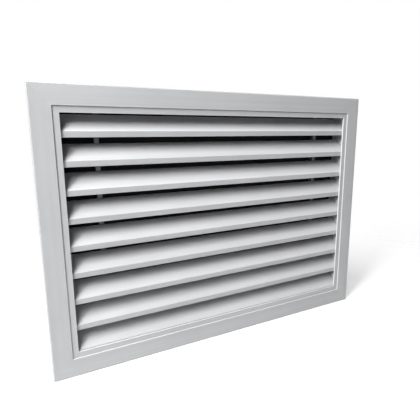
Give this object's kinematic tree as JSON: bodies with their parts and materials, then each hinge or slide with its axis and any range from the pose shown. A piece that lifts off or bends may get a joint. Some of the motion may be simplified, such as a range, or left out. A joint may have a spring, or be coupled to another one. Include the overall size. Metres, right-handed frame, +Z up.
{
  "type": "louvred air grille",
  "caption": "Rectangular wall grille: a mitred aluminium frame with a stepped inner lip, fixed sloping louvre blades, rear support bars and a dark filter pad.",
  "frame": {"origin": "centre of the wall opening that the neck goes into, in the wall's plane, which is the flange's rear face", "axes": "+X to the right seen from the front, +Y back into the wall along the neck, +Z up; the front faces -Y"},
  "size_m": [0.518, 0.0418, 0.368],
  "materials": {
    "frame_finish": "satin silver powder coat on extruded aluminium",
    "blade_finish": "satin silver powder coat on extruded aluminium",
    "cleat_finish": "mill finish",
    "rivet_finish": "mill finish",
    "screw_finish": "zinc plated",
    "bar_finish": "mill finish",
    "filter_foam": "black open-cell foam",
    "wire_finish": "bright spring wire",
    "clip_finish": "bright spring steel"
  },
  "bodies": {
    "root": {"frame_left": "frame_finish", "frame_top": "frame_finish", "frame_right": "frame_finish", "frame_bottom": "frame_finish", "corner_cleat_top_left": "cleat_finish", "corner_rivet_side_top_left": "rivet_finish", "corner_rivet_end_top_left": "rivet_finish", "corner_cleat_top_right": "cleat_finish", "corner_rivet_side_top_right": "rivet_finish", "corner_rivet_end_top_right": "rivet_finish", "corner_cleat_bottom_right": "cleat_finish", "corner_rivet_side_bottom_right": "rivet_finish", "corner_rivet_end_bottom_right": "rivet_finish", "corner_cleat_bottom_left": "cleat_finish", "corner_rivet_side_bottom_left": "rivet_finish", "corner_rivet_end_bottom_left": "rivet_finish", "blade_1": "blade_finish", "blade_screw_left_1": "screw_finish", "blade_screw_right_1": "screw_finish", "blade_2": "blade_finish", "blade_screw_left_2": "screw_finish", "blade_screw_right_2": "screw_finish", "blade_3": "blade_finish", "blade_screw_left_3": "screw_finish", "blade_screw_right_3": "screw_finish", "blade_4": "blade_finish", "blade_screw_left_4": "screw_finish", "blade_screw_right_4": "screw_finish", "blade_5": "blade_finish", "blade_screw_left_5": "screw_finish", "blade_screw_right_5": "screw_finish", "blade_6": "blade_finish", "blade_screw_left_6": "screw_finish", "blade_screw_right_6": "screw_finish", "blade_7": "blade_finish", "blade_screw_left_7": "screw_finish", "blade_screw_right_7": "screw_finish", "blade_8": "blade_finish", "blade_screw_left_8": "screw_finish", "blade_screw_right_8": "screw_finish", "blade_9": "blade_finish", "blade_screw_left_9": "screw_finish", "blade_screw_right_9": "screw_finish", "support_bar_left": "bar_finish", "bar_screw_left_top": "screw_finish", "spring_clip_top_left": "clip_finish", "bar_screw_left_bottom": "screw_finish", "spring_clip_bottom_left": "clip_finish", "support_bar_right": "bar_finish", "bar_screw_right_top": "screw_finish", "spring_clip_top_right": "clip_finish", "bar_screw_right_bottom": "screw_finish", "spring_clip_bottom_right": "clip_finish", "filter_pad": "filter_foam", "filter_wire_upper": "wire_finish", "filter_wire_lower": "wire_finish"}
  },
  "joints": []
}
